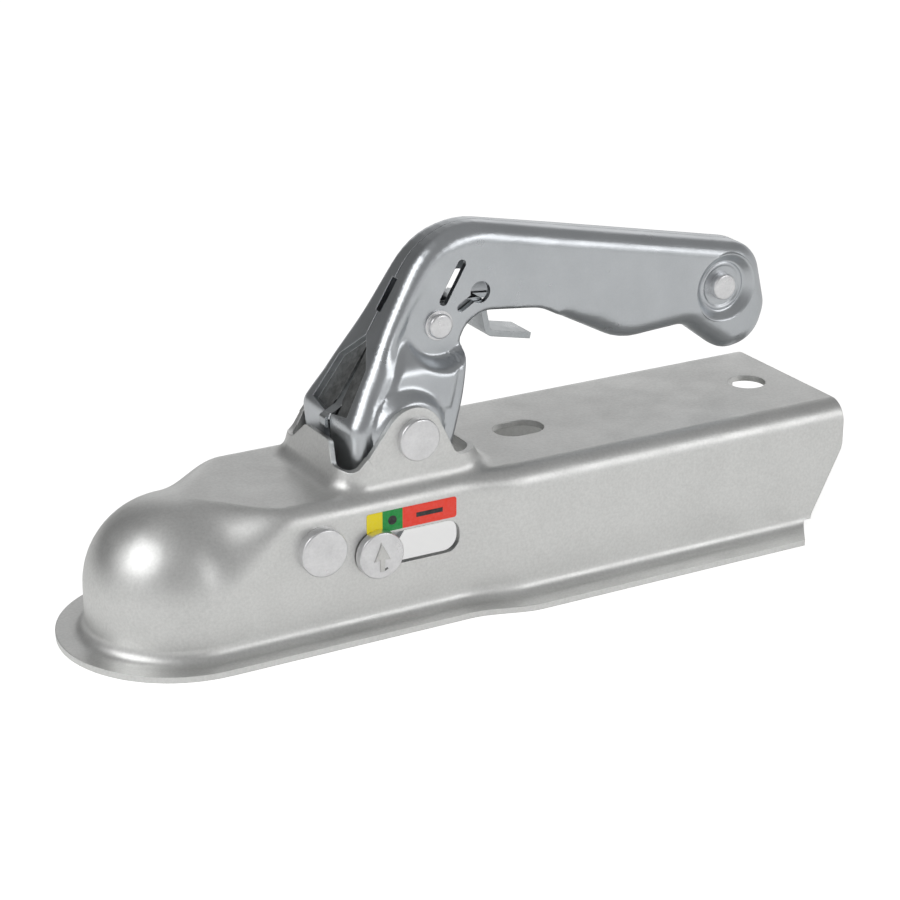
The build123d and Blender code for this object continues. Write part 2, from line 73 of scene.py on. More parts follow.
def noise(tree, vector, scale, detail=2.0, rough=0.5):
    node = tree.nodes.new("ShaderNodeTexNoise")
    node.inputs["Scale"].default_value = scale
    node.inputs["Detail"].default_value = detail
    node.inputs["Roughness"].default_value = rough
    tree.links.new(vector, node.inputs["Vector"])
    return node.outputs["Fac"]


def spread(tree, value, low, high, fromLow=0.3, fromHigh=0.7):
    node = tree.nodes.new("ShaderNodeMapRange")
    node.inputs["From Min"].default_value = fromLow
    node.inputs["From Max"].default_value = fromHigh
    node.inputs["To Min"].default_value = low
    node.inputs["To Max"].default_value = high
    tree.links.new(value, node.inputs["Value"])
    return node.outputs["Result"]


def blendColours(tree, share, first, second):
    node = tree.nodes.new("ShaderNodeMix")
    node.data_type = "RGBA"
    tree.links.new(share, node.inputs["Factor"])
    for socket, colour in (("A", first), ("B", second)):
        place = [s for s in node.inputs if s.name == socket and s.type == "RGBA"][0]
        if isinstance(colour, bpy.types.NodeSocket):
            tree.links.new(colour, place)
        else:
            place.default_value = (*colour, 1)
    return [s for s in node.outputs if s.type == "RGBA"][0]


def addValues(tree, first, second, weight):
    node = tree.nodes.new("ShaderNodeMath")
    node.operation = "MULTIPLY_ADD"
    node.inputs[1].default_value = weight
    tree.links.new(second, node.inputs[0])
    tree.links.new(first, node.inputs[2])
    return node.outputs["Value"]


def bump(tree, height, strength, distance, under=None):
    node = tree.nodes.new("ShaderNodeBump")
    node.inputs["Strength"].default_value = strength
    node.inputs["Distance"].default_value = distance
    tree.links.new(height, node.inputs["Height"])
    if under:
        tree.links.new(under, node.inputs["Normal"])
    return node.outputs["Normal"]


# Detail and roughness of each noise in the zinc, how deep its waves and grain go, and the ends of its tint,
# each with what a full speckle adds
zincPattern = {
    "clouds": (4.0, 0.6), "mottle": (2.0, 0.6), "gloss": (3.0, 0.6), "waves": (2.0, 0.5), "grain": (3.0, 0.7),
    "waveDepth": 1.0 * mm, "grainDepth": 0.05 * mm, "edgeSamples": 6, "tint": ((0.3, 0.35), (0.7, 0.65)),
}


# Zinc plate: clouded and speckled tint, uneven gloss, fine grain and softened edges
def zincMaterial(name, look):
    material, tree, shader = newMaterial(name)
    shader.inputs["Metallic"].default_value = 1.0
    coords = objectCoords(tree)
    clouds = noise(tree, coords, look["cloudScale"], *zincPattern["clouds"])
    mottle = noise(tree, coords, look["grainScale"] / 2, *zincPattern["mottle"])
    speckle = look["speckle"]
    tint = addValues(tree, clouds, mottle, speckle)
    (low, lowAdds), (high, highAdds) = zincPattern["tint"]
    share = spread(tree, tint, 0.0, 1.0, low + lowAdds * speckle, high + highAdds * speckle)
    tree.links.new(blendColours(tree, share, look["dark"], look["light"]), shader.inputs["Base Color"])
    gloss = noise(tree, coords, look["glossScale"], *zincPattern["gloss"])
    tree.links.new(spread(tree, gloss, *look["roughness"]), shader.inputs["Roughness"])
    edge = tree.nodes.new("ShaderNodeBevel")
    edge.samples = zincPattern["edgeSamples"]
    edge.inputs["Radius"].default_value = look["edge"]
    waves = noise(tree, coords, look["waveScale"], *zincPattern["waves"])
    waved = bump(tree, waves, look["wave"], zincPattern["waveDepth"], edge.outputs["Normal"])
    grain = noise(tree, coords, look["grainScale"], *zincPattern["grain"])
    grained = bump(tree, grain, look["grain"], zincPattern["grainDepth"], waved)
    tree.links.new(grained, shader.inputs["Normal"])
    return material


bodyZinc = {
    "dark": (0.667, 0.67, 0.66), "light": (0.79, 0.793, 0.783), "cloudScale": 28, "glossScale": 60,
    "roughness": (0.38, 0.49), "grainScale": 2200, "grain": 0.6, "speckle": 1.2,
    "waveScale": 45, "wave": 0.03, "edge": 0.45 * mm,
}
handleZinc = {
    "dark": (0.5, 0.522, 0.544), "light": (0.59, 0.611, 0.633), "cloudScale": 40, "glossScale": 90,
    "roughness": (0.27, 0.34), "grainScale": 3200, "grain": 0.06, "speckle": 0.3,
    "waveScale": 60, "wave": 0.03, "edge": 0.3 * mm,
}
pinZinc = {
    "dark": (0.69, 0.69, 0.7), "light": (0.85, 0.85, 0.86), "cloudScale": 160, "glossScale": 300,
    "roughness": (0.26, 0.4), "grainScale": 2200, "grain": 0.3, "speckle": 0.5,
    "waveScale": 220, "wave": 0.06, "edge": 0.3 * mm,
}
# Painted shade: the handle's zinc set darker for the trigger, which sits mostly between the handle halves
shadedTriggerZinc = {
    "dark": (0.392, 0.413, 0.428), "light": (0.522, 0.544, 0.558), "cloudScale": 120, "glossScale": 200,
    "roughness": (0.25, 0.36), "grainScale": 2600, "grain": 0.25, "speckle": 0.5,
    "waveScale": 120, "wave": 0.04, "edge": 0.3 * mm,
}
sleeveSteel = {
    "dark": (0.58, 0.58, 0.566), "light": (0.725, 0.725, 0.711), "cloudScale": 120, "glossScale": 200,
    "roughness": (0.3, 0.42), "grainScale": 2600, "grain": 0.3, "speckle": 0.5,
    "waveScale": 120, "wave": 0.04, "edge": 0.3 * mm,
}
springSteel = {
    "dark": (0.29, 0.29, 0.304), "light": (0.464, 0.464, 0.478), "cloudScale": 200, "glossScale": 300,
    "roughness": (0.25, 0.4), "grainScale": 2600, "grain": 0.2, "speckle": 0.5,
    "waveScale": 120, "wave": 0.03, "edge": 0.1 * mm,
}
jawSteel = {
    "dark": (0.493, 0.493, 0.478), "light": (0.652, 0.652, 0.638), "cloudScale": 90, "glossScale": 140,
    "roughness": (0.4, 0.55), "grainScale": 1500, "grain": 0.8, "speckle": 0.5,
    "waveScale": 160, "wave": 0.12, "edge": 0.5 * mm,
}
# Painted shade: dark zinc laid on the inner side of the handle sheet, the sunk recess floor and the punch
# mark
recessShade = {
    "dark": (0.131, 0.133, 0.133), "light": (0.29, 0.297, 0.297), "cloudScale": 420, "glossScale": 300,
    "roughness": (0.35, 0.55), "grainScale": 1800, "grain": 0.8, "speckle": 0.5,
    "waveScale": 300, "wave": 0.1, "edge": 0.2 * mm,
}

# Sticker with three printed fields, a dot and a bar, under a thin gloss
labelFilm = {
    "left": -44.5 * mm, "right": -13.6 * mm, "greenFrom": -39.2 * mm, "redFrom": -32.4 * mm,
    "yellow": (0.9, 0.74, 0.02), "green": (0.015, 0.3, 0.06), "red": (0.93, 0.065, 0.04),
    "ink": (0.03, 0.03, 0.03), "worn": (0.9, 0.9, 0.88), "wear": 0.05,
    "dot": (-35.8 * mm, 34.4 * mm, 1.5 * mm), "bar": (-23.0 * mm, 34.4 * mm, 4.6 * mm, 0.75 * mm),
    "roughness": (0.42, 0.55), "gloss": 0.22,
    "wornScale": 900, "wornPattern": (3.0, 0.6), "unevenness": (0.1, 0.02 * mm),
}


def labelMaterial(name, look):
    material, tree, shader = newMaterial(name)
    coords = objectCoords(tree)
    parts = tree.nodes.new("ShaderNodeSeparateXYZ")
    tree.links.new(coords, parts.inputs["Vector"])
    across = spread(tree, parts.outputs["X"], 0.0, 1.0, look["left"], look["right"])
    ramp = tree.nodes.new("ShaderNodeValToRGB")
    ramp.color_ramp.interpolation = "CONSTANT"
    length = look["right"] - look["left"]
    stops = ramp.color_ramp.elements
    stops[0].position, stops[0].color = 0.0, (*look["yellow"], 1)
    stops[1].position, stops[1].color = (look["greenFrom"] - look["left"]) / length, (*look["green"], 1)
    last = stops.new((look["redFrom"] - look["left"]) / length)
    last.color = (*look["red"], 1)
    tree.links.new(across, ramp.inputs["Fac"])
    printed = ramp.outputs["Color"]
    for mark in (dotMask(tree, coords, *look["dot"]), barMask(tree, parts, *look["bar"])):
        printed = blendColours(tree, mark, printed, look["ink"])
    worn = noise(tree, coords, look["wornScale"], *look["wornPattern"])
    faded = blendColours(tree, spread(tree, worn, 0.0, look["wear"]), printed, look["worn"])
    shader.inputs["Specular IOR Level"].default_value = look["gloss"]
    tree.links.new(faded, shader.inputs["Base Color"])
    tree.links.new(spread(tree, worn, *look["roughness"]), shader.inputs["Roughness"])
    tree.links.new(bump(tree, worn, *look["unevenness"]), shader.inputs["Normal"])
    return material


def dotMask(tree, coords, x, z, radius):
    flat = tree.nodes.new("ShaderNodeVectorMath")
    flat.operation = "MULTIPLY"
    flat.inputs[1].default_value = (1, 0, 1)
    tree.links.new(coords, flat.inputs[0])
    away = tree.nodes.new("ShaderNodeVectorMath")
    away.operation = "DISTANCE"
    away.inputs[1].default_value = (x, 0, z)
    tree.links.new(flat.outputs["Vector"], away.inputs[0])
    return compare(tree, away.outputs["Value"], "LESS_THAN", radius)


def barMask(tree, parts, x, z, halfLength, halfHeight):
    inside = None
    for axis, middle, half in (("X", x, halfLength), ("Z", z, halfHeight)):
        for side, limit in (("GREATER_THAN", middle - half), ("LESS_THAN", middle + half)):
            test = compare(tree, parts.outputs[axis], side, limit)
            if inside:
                both = tree.nodes.new("ShaderNodeMath")
                both.operation = "MULTIPLY"
                tree.links.new(inside, both.inputs[0])
                tree.links.new(test, both.inputs[1])
                test = both.outputs["Value"]
            inside = test
    return inside


def compare(tree, value, operation, limit):
    node = tree.nodes.new("ShaderNodeMath")
    node.operation = operation
    node.inputs[1].default_value = limit
    tree.links.new(value, node.inputs[0])
    return node.outputs["Value"]


finishes = {
    "body_zinc": zincMaterial("bodyZinc", bodyZinc),
    "handle_zinc": zincMaterial("handleZinc", handleZinc),
    "pin_zinc": zincMaterial("pinZinc", pinZinc),
    "trigger_zinc": zincMaterial("shadedTriggerZinc", shadedTriggerZinc),
    "sleeve_steel": zincMaterial("sleeveSteel", sleeveSteel),
    "spring_steel": zincMaterial("springSteel", springSteel),
    "jaw_steel": zincMaterial("jawSteel", jawSteel),
    "label_film": labelMaterial("labelFilm", labelFilm),
}
paintedShade = zincMaterial("recessShade", recessShade)
for entry in frame["record"]["subparts"]:
    mesh = nodes[entry["node"]].data
    mesh.materials.clear()
    mesh.materials.append(finishes[entry["material_slot"]])
print("finishes given to the frame")


def linkObject(name, data):
    made = bpy.data.objects.new(name, data)
    bpy.context.scene.collection.objects.link(made)
    return made


# Pieces are drawn in millimetres, then scaled to the frame and set riding on their body
def finishPiece(bm, name, body, material, sharpAngle=38):
    bmesh.ops.scale(bm, vec=(mm, mm, mm), verts=bm.verts)
    mesh = bpy.data.meshes.new(name)
    bm.to_mesh(mesh)
    bm.free()
    mesh.shade_smooth()
    mesh.set_sharp_from_angle(angle=math.radians(sharpAngle))
    mesh.materials.append(material)
    piece = linkObject(name, mesh)
    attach(piece, body)
    return piece


def ease(start, end, value):
    share = min(max((value - start) / (end - start), 0.0), 1.0)
    return share * share * (3 - 2 * share)


def readTable(table, at):
    for (high, first), (lower, second) in zip(table, table[1:]):
        if at >= lower:
            share = min(max((high - at) / (high - lower), 0.0), 1.0)
            return first + (second - first) * share
    return table[-1][1]


# Profile of (radius, y) points turned a full round about an axis along Y
def spinProfile(bm, axis, profile, steps):
    x, z = axis
    verts = [bm.verts.new((x + radius, y, z)) for radius, y in profile]
    edges = [bm.edges.new(pair) for pair in zip(verts, verts[1:])]
    bmesh.ops.spin(
        bm, geom=verts + edges, cent=(x, 0, z), axis=(0, 1, 0), dvec=(0, 0, 0), angle=2 * math.pi,
        steps=steps, use_merge=True, use_duplicate=False,
    )


# Open sheet turned so that most of it faces the near side
def faceNearSide(bm, faces):
    bmesh.ops.recalc_face_normals(bm, faces=faces)
    if sum(face.calc_area() * face.normal.y for face in faces) > 0:
        bmesh.ops.reverse_faces(bm, faces=faces)


# How far a point lies inside a polygon, negative outside it
def depthInside(corners, x, z):
    nearest, inside = 1e9, False
    for (ax, az), (bx, bz) in zip(corners, corners[1:] + corners[:1]):
        ux, uz = bx - ax, bz - az
        along = min(max(((x - ax) * ux + (z - az) * uz) / (ux * ux + uz * uz), 0.0), 1.0)
        nearest = min(nearest, math.hypot(x - ax - ux * along, z - az - uz * along))
        if (az > z) != (bz > z) and x < ax + ux * (z - az) / uz:
            inside = not inside
    return nearest if inside else -nearest


# Pressed handle halves: soft rims, flared neck, pad, boss and dish out of one sheet
handleShell = {
    "corners": [
        (-7.7, 118.7, 26), (112.0, 93.8, 12), (119.8, 60.9, 12.5), (101.5, 57.9, 8.6), (86.0, 69.6, 10),
        (61.0, 68.2, 22), (29.0, 85.3, 16), (2.2, 88.3, 10.5), (-8.5, 46.0, 6), (-30.5, 15.5, 8),
        (-51.5, 14.5, 9), (-51.0, 31.0, 8), (-41.8, 43.0, 6), (-43.4, 60.2, 6),
    ],
    "cornerStep": 7, "sheet": 1.9, "seam": 0.18,
    "rim": 6.0, "neckRim": 4.8, "underRim": 8.2, "edgeRim": 2.2, "rimSteps": 8,
    "rimWidens": (-12, 2), "underLine": (94, 0.16), "underDepth": 8, "underAlong": (40, 54),
    "mouthFade": (-4, 2), "onOutline": 1e-3,
    "mouth": [(36, 96), (36, 60), (12, 60), (5, 5), (-60, 5), (-60, 44), (-35, 44), (-12, 80), (-6, 96)],
    "grip": 8.5, "gripRear": 9.3, "gripWidens": (8, 40),
    "flare": [
        (106, 8.5), (100, 9.3), (92, 10.3), (88, 11.0), (84, 12.0), (78, 14.0), (71, 16.0), (64, 17.2),
        (0, 17.2),
    ],
    "flareBlur": (-3, -1.5, 0, 1.5, 3), "fadeBehind": (1, 8), "fadeHeight": (74, 86), "fadeAlong": (0, 9),
    "footFlare": 2.2, "footAlong": (-37, -30), "footStarts": (71, 58), "footEnds": (42, 47),
    "frontTop": (-17.7, 102.3), "frontLean": 31.5,
    "lobe": (10.4, 12.4), "boss": (10.6, 13.0), "bossHalf": 21.6, "stepReach": (0.8, 1.5), "stepPasses": 5,
    "pad": [(-22.5, 83), (-33.5, 64.5), (-8.5, 61), (-4, 74), (-2, 83)], "padHeight": 0.9, "padEdge": 2.2,
    "gridX": [(-50, -46, 4), (-46, 8, 0.7), (8, 118, 3)],
    "gridZ": [(16, 44, 4), (44, 106, 0.7), (106, 114, 3)], "gridShift": 0.013,
}


# Corners of an outline turned into arcs that run on from the straight stretches
def roundedLoop(corners, stepAngle):
    loop = []
    for place, (x, z, radius) in enumerate(corners):
        here = Vector((x, z))
        arriving = (here - Vector(corners[place - 1][:2])).normalized()
        leaving = (Vector(corners[(place + 1) % len(corners)][:2]) - here).normalized()
        turn = arriving.angle_signed(leaving)
        start = here - arriving * radius * math.tan(abs(turn) / 2)
        side = Vector((arriving.y, -arriving.x)) * math.copysign(radius, turn)
        steps = max(3, round(abs(turn) / math.radians(stepAngle)))
        for step in range(steps + 1):
            spoke = Matrix.Rotation(-turn * step / steps, 2) @ -side
            loop.append(start + side + spoke)
    return loop


def handleFace(setting):
    bm = bmesh.new()
    loop = roundedLoop(setting["corners"][::-1], setting["cornerStep"])  # facing -Y
    bm.faces.new([bm.verts.new((point.x, 0, point.y)) for point in loop])
    bm.normal_update()
    return bm


# Upright ribbon along the outline, to measure how far a point is from the edge
def outlineRibbon(bm):
    loop = [vert.co.copy() for vert in bm.faces[0].verts]
    lift = Vector((0, 1, 0))
    corners = [point - lift for point in loop] + [point + lift for point in loop]
    count = len(loop)
    quads = [(i, (i + 1) % count, (i + 1) % count + count, i + count) for i in range(count)]
    return BVHTree.FromPolygons(corners, quads)


def handleWidth(setting, x, z):
    grip = setting["grip"] + (setting["gripRear"] - setting["grip"]) * ease(*setting["gripWidens"], x)
    lean = math.radians(setting["frontLean"])
    topX, topZ = setting["frontTop"]
    behind = (x - topX) * math.cos(lean) - (z - topZ) * math.sin(lean)
    blur = setting["flareBlur"]
    flare = sum(readTable(setting["flare"], z + step) for step in blur) / len(blur)
    fade = 1 - ease(*setting["fadeBehind"], behind) * ease(*setting["fadeHeight"], z)
    fade *= 1 - ease(*setting["fadeAlong"], x)
    width = grip + (flare - grip) * fade
    foot = 1 - ease(*setting["footAlong"], x)
    foot *= ease(*setting["footStarts"], z) * ease(*setting["footEnds"], z)
    width += setting["footFlare"] * foot
    width += setting["padHeight"] * ease(0, setting["padEdge"], depthInside(setting["pad"], x, z))
    width = grip + (width - grip) * ease(*setting["lobe"], math.dist((x, z), axes["trigger"]))
    boss = 1 - ease(*setting["boss"], math.dist((x, z), axes["pivot"]))
    return width + (setting["bossHalf"] - width) * boss


# Rim rounding: tight on the neck, fuller on the grip, fullest under the fingers, sharp at the open mouth
def handleRim(setting, x, z):
    rim = setting["neckRim"] + (setting["rim"] - setting["neckRim"]) * ease(*setting["rimWidens"], x)
    height, drop = setting["underLine"]
    under = ease(0, setting["underDepth"], height - drop * x - z) * ease(*setting["underAlong"], x)
    rim += (setting["underRim"] - rim) * under
    return rim + (setting["edgeRim"] - rim) * ease(*setting["mouthFade"], depthInside(setting["mouth"], x, z))


# Whether a point is on the pressed step round the lobe or the boss
def nearStep(setting, place):
    before, after = setting["stepReach"]
    for centre, (inner, outer) in ((axes["trigger"], setting["lobe"]), (axes["pivot"], setting["boss"])):
        if inner - before < math.dist((place.x, place.z), centre) < outer + after:
            return True
    return False


# Lines across the sheet, close together where it is pressed
def cutGrid(bm, spans, normal, shift):
    for start, end, spacing in spans:
        for count in range(round((end - start) / spacing)):
            place = start + count * spacing + shift
            bmesh.ops.bisect_plane(
                bm, geom=bm.verts[:] + bm.edges[:] + bm.faces[:], dist=touching,
                plane_co=tuple(place * part for part in normal), plane_no=normal,
            )


def handleSkin(setting, cuts):
    bm = handleFace(setting)
    bm.faces.ensure_lookup_table()
    ribbon = outlineRibbon(bm)
    reach = 0.0
    for step in range(1, setting["rimSteps"] + 1):
        target = setting["rim"] * (1 - math.cos(math.pi / 2 * step / setting["rimSteps"]))
        inner = max(bm.faces, key=lambda face: face.calc_area())
        bmesh.ops.inset_region(
            bm, faces=[inner], thickness=target - reach, use_boundary=True, use_even_offset=True,
        )
        reach = target
    cutGrid(bm, setting["gridX"], (1, 0, 0), setting["gridShift"])
    cutGrid(bm, setting["gridZ"], (0, 0, 1), setting["gridShift"])
    cutSideHoles(bm, cuts)
    outer = []
    for edge in bm.edges:
        if edge.is_boundary and ribbon.find_nearest(edge.verts[0].co)[3] < setting["onOutline"]:
            outer.append(edge)
    for vert in bm.verts:
        x, z = vert.co.x, vert.co.z
        rim = handleRim(setting, x, z)
        edge = min(ribbon.find_nearest(vert.co)[3], rim)
        vert.co.y = rim - handleWidth(setting, x, z) - math.sqrt(max(rim * rim - (rim - edge) ** 2, 0.0))
    steps = [vert for vert in bm.verts if not vert.is_boundary and nearStep(setting, vert.co)]
    for count in range(setting["stepPasses"]):
        bmesh.ops.smooth_vert(bm, verts=steps, factor=0.5, use_axis_y=True)
    sideVerts, sideFaces = set(bm.verts), set(bm.faces)
    bmesh.ops.extrude_edge_only(bm, edges=outer)
    for vert in set(bm.verts) - sideVerts:
        vert.co.y = -setting["seam"]
    openFaces = []
    for face in set(bm.faces) - sideFaces:
        middle = face.calc_center_median()
        if depthInside(setting["mouth"], middle.x, middle.z) > 0:
            openFaces.append(face)
    bmesh.ops.delete(bm, geom=openFaces, context="FACES")
    faceNearSide(bm, bm.faces[:])
    cutFront(bm, cuts, setting)
    return bm


# Holes in the side, and the notch, recess and catch gap down the leaning front: across, and along it
handleCuts = {
    "rounds": [(axes["pivot"], 5.0), (axes["trigger"], 3.0), (axes["rivet"], 11.45), (axes["keyhole"], 3.5)],
    "slots": [
        ((-0.2, 104.1), (-6.5, 93.3), 3.0), ((-41.1, 24.5), (-39.6, 28.5), 11.2),
        (axes["keyhole"], (-0.4, 90.2), 2.7),
    ],
    "recess": [(-0.6, 21.0), (0, 21.5), (9, 31), (11.5, 46.5), (-0.6, 48.5)], "recessDepth": 2.2,
    "openings": [
        [(-0.6, 2.2), (1.6, 2.2), (1.6, 13.6), (-0.6, 13.6)],
        [(-0.6, 21.5), (0.2, 21.5), (1.6, 43), (-0.6, 43)],
        [(-0.6, 43), (1.6, 43), (2.6, 44.5), (2.6, 75), (-0.6, 75)],
    ],
    "slotStep": 15, "roundStep": 10, "roundness": 0.999, "holeReach": 1.5, "frontFacing": 0.8, "frontEnd": -8,
}


# Faces inside a convex outline, after cutting the mesh along each of its sides
def facesInside(bm, faces, corners, through):
    planes = []
    middle = sum(corners, Vector()) / len(corners)
    for start, end in zip(corners, corners[1:] + corners[:1]):
        outward = (end - start).cross(through).normalized()
        planes.append((start, outward if outward.dot(start - middle) > 0 else -outward))
    geom = list(faces)
    for edge in {edge for face in faces for edge in face.edges}:
        geom.append(edge)
    for vert in {vert for face in faces for vert in face.verts}:
        geom.append(vert)
    for place, outward in planes:
        geom = bmesh.ops.bisect_plane(bm, geom=geom, dist=touching, plane_co=place, plane_no=outward)["geom"]
    inside = []
    for face in geom:
        if isinstance(face, bmesh.types.BMFace):
            centre = face.calc_center_median()
            if all(outward.dot(centre - place) < 0 for place, outward in planes):
                inside.append(face)
    return inside


def sideHole(bm, loop, margin):
    corners = [Vector((point.x, 0, point.y)) for point in loop]
    middle = sum(corners, Vector()) / len(corners)
    reach = max((corner - middle).length for corner in corners) + margin
    near = [face for face in bm.faces if any((vert.co - middle).length < reach for vert in face.verts)]
    bmesh.ops.delete(bm, geom=facesInside(bm, near, corners, Vector((0, 1, 0))), context="FACES")


def cutSideHoles(bm, setting):
    margin, roundness = setting["holeReach"], setting["roundness"]
    for (x, z), radius in setting["rounds"]:
        sides = ((1, 1), (-1, 1), (-1, -1), (1, -1))
        square = [(x + radius * i, z + radius * j, radius * roundness) for i, j in sides]
        sideHole(bm, roundedLoop(square, setting["roundStep"]), margin)
    for first, second, width in setting["slots"]:
        start, end = Vector(first), Vector(second)
        along = (end - start).normalized() * width / 2
        across = Vector((-along.y, along.x))
        ends = (start - along - across, end + along - across, end + along + across, start - along + across)
        corners = [(*place, width / 2 * roundness) for place in ends]
        sideHole(bm, roundedLoop(corners, setting["slotStep"]), margin)


def cutFront(bm, setting, shell):
    lean = math.radians(shell["frontLean"])
    down = Vector((-math.sin(lean), 0, -math.cos(lean)))
    outward = Vector((-math.cos(lean), 0, math.sin(lean)))
    top = Vector((shell["frontTop"][0], 0, shell["frontTop"][1]))

    def cut(outline):
        corners = [top + down * along - Vector((0, across, 0)) for across, along in outline]
        front = []
        for face in bm.faces:
            facing = face.normal.dot(outward) > setting["frontFacing"]
            if facing and face.calc_center_median().x < setting["frontEnd"]:
                front.append(face)
        return facesInside(bm, front, corners, outward)

    bm.normal_update()
    floor = cut(setting["recess"])
    sunk = bmesh.ops.extrude_face_region(bm, geom=floor)["geom"]
    floorVerts = [item for item in sunk if isinstance(item, bmesh.types.BMVert)]
    bmesh.ops.translate(bm, vec=-outward * setting["recessDepth"], verts=floorVerts)
    # The sunk recess floor takes the second material: painted shade
    for face in sunk:
        if isinstance(face, bmesh.types.BMFace):
            face.material_index = 1
    bmesh.ops.delete(bm, geom=[face for face in floor if face.is_valid], context="FACES")
    fins = []
    for face in bm.faces:
        if all(abs(vert.co.y + shell["seam"]) < touching for vert in face.verts):
            fins.append(face)
    bmesh.ops.delete(bm, geom=fins, context="FACES")
    for outline in setting["openings"]:
        bm.normal_update()
        bmesh.ops.delete(bm, geom=cut(outline), context="FACES")


# Ring steps of the dished end, as (radius, depth) about the rear rivet
dish = {
    "profile": [
        (11.5, 0.0), (11.2, 0.1), (10.6, 0.6), (9.4, 2.0), (8.9, 2.45), (8.5, 2.75), (8.2, 2.8), (7.9, 2.55),
        (7.5, 2.4), (7.1, 2.5), (6.8, 2.85), (6.4, 2.95), (3.0, 3.0),
    ],
    "steps": 96,
}


def dishRings(bm, setting, face):
    others = set(bm.faces)
    profile = [(radius, depth - face) for radius, depth in setting["profile"]]
    spinProfile(bm, axes["rivet"], profile, setting["steps"])
    rings = [ring for ring in bm.faces if ring not in others]
    bmesh.ops.remove_doubles(bm, verts=list({vert for ring in rings for vert in ring.verts}), dist=touching)
    faceNearSide(bm, rings)


def handleHalf(setting, cuts):
    bm = handleSkin(setting, cuts)
    dishRings(bm, dish, setting["gripRear"])
    mesh = bpy.data.meshes.new("handleSkin")
    bm.to_mesh(mesh)
    bm.free()
    skin = linkObject("handleSkin", mesh)
    # The sheet's inner side takes the second material, painted shade for the shadowed inside of the handle
    wall = skin.modifiers.new("sheet", "SOLIDIFY")
    wall.thickness, wall.offset, wall.material_offset = setting["sheet"], -1, 1  # dark inside
    shape = bpy.data.meshes.new_from_object(skin.evaluated_get(bpy.context.evaluated_depsgraph_get()))
    bpy.data.objects.remove(skin)
    return shape


def makeHandleHalves(setting, cuts):
    finish = finishes["handle_zinc"]
    shape = handleHalf(setting, cuts)
    for name, node in (("handleHalfNear", "handle_half_near"), ("handleHalfFar", "handle_half_far")):
        bm = bmesh.new()
        bm.from_mesh(shape)
        if node == "handle_half_far":
            bmesh.ops.scale(bm, vec=(1, -1, 1), verts=bm.verts)
            bmesh.ops.reverse_faces(bm, faces=bm.faces)  # both walls of the sheet face out again
        piece = finishPiece(bm, name, "handle", finish)
        piece.data.materials.append(paintedShade)
        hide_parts(node)
    bpy.data.meshes.remove(shape)


makeHandleHalves(handleShell, handleCuts)
print("handle halves pressed")

# Turned pins and rivets with domed faces and worn rims: the head starts at reach from the middle plane
pins = [
    {"name": "pivotPin", "node": "pivot_pin", "body": "housing", "axis": axes["pivot"], "reach": 24.0,
     "head": 13.6, "height": 2.5, "dome": 0.3, "rim": 0.7, "shank": 10.0},
    {"name": "jawPin", "node": "jaw_pin", "body": "housing", "axis": axes["jaw"], "reach": 29.0,
     "head": 15.2, "height": 3.6, "dome": 0.25, "rim": 0.6, "shank": 10.0},
    {"name": "triggerPin", "node": "trigger_pin", "body": "handle", "axis": axes["trigger"], "reach": 8.5,
     "head": 8.0, "height": 2.6, "dome": 0.35, "rim": 0.7, "shank": 6.0, "collar": (9.5, 0.7)},
    {"name": "rearRivet", "node": "rear_rivet", "body": "handle", "axis": axes["rivet"], "reach": 5.5,
     "head": 8.8, "height": 3.6, "dome": 0.3, "rim": 0.7, "shank": 6.0},
    {"name": "indicatorPin", "node": "indicator_pin", "body": "slider", "axis": axes["slider"], "reach": 29.4,
     "head": 15.0, "height": 3.0, "dome": 0.1, "rim": 0.5, "shank": 10.0, "stub": (7.0, 3.0)},
]

# Shared by all pins: shoulder is the middle ring of the dome, as shares of its radius and drop
pinTurning = {"steps": 72, "rimSegments": 5, "shoulder": (0.6, 0.3), "rimLevel": 1e-3, "rimOut": 1e-2}


def pinProfile(setting):
    top, reach = setting["reach"] + setting["height"], setting["reach"]
    radius, shank = setting["head"] / 2, setting["shank"] / 2
    out, drop = pinTurning["shoulder"]
    profile = [(0, -top), (radius * out, drop * setting["dome"] - top), (radius, setting["dome"] - top)]
    if "collar" in setting:
        collar, thick = setting["collar"]
        profile += [(radius, -reach - thick), (collar / 2, -reach - thick), (collar / 2, -reach)]
    else:
        profile += [(radius, -reach)]
    if "stub" in setting:
        stub, length = setting["stub"]
        end = [(shank, reach), (stub / 2, reach), (stub / 2, reach + length), (0, reach + length)]
        return profile + [(shank, -reach)] + end
    return profile + [(shank, -reach), (shank, reach)] + [(r, -y) for r, y in profile[::-1]]


def turnedPin(setting):
    bm = bmesh.new()
    spinProfile(bm, setting["axis"], pinProfile(setting), pinTurning["steps"])
    bmesh.ops.remove_doubles(bm, verts=bm.verts, dist=touching)
    bmesh.ops.recalc_face_normals(bm, faces=bm.faces)
    edgeAt = setting["reach"] + setting["height"] - setting["dome"]
    rim = []
    for edge in bm.edges:
        level = all(abs(abs(vert.co.y) - edgeAt) < pinTurning["rimLevel"] for vert in edge.verts)
        radii = [math.dist((vert.co.x, vert.co.z), setting["axis"]) for vert in edge.verts]
        if level and all(abs(radius - setting["head"] / 2) < pinTurning["rimOut"] for radius in radii):
            rim.append(edge)
    bmesh.ops.bevel(
        bm, geom=rim, offset=setting["rim"], offset_type="OFFSET", segments=pinTurning["rimSegments"],
        profile=0.5, affect="EDGES", material=-1,
    )
    piece = finishPiece(bm, setting["name"], setting["body"], finishes["pin_zinc"])
    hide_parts(setting["node"])


for setting in pins:
    turnedPin(setting)
print("pins turned")

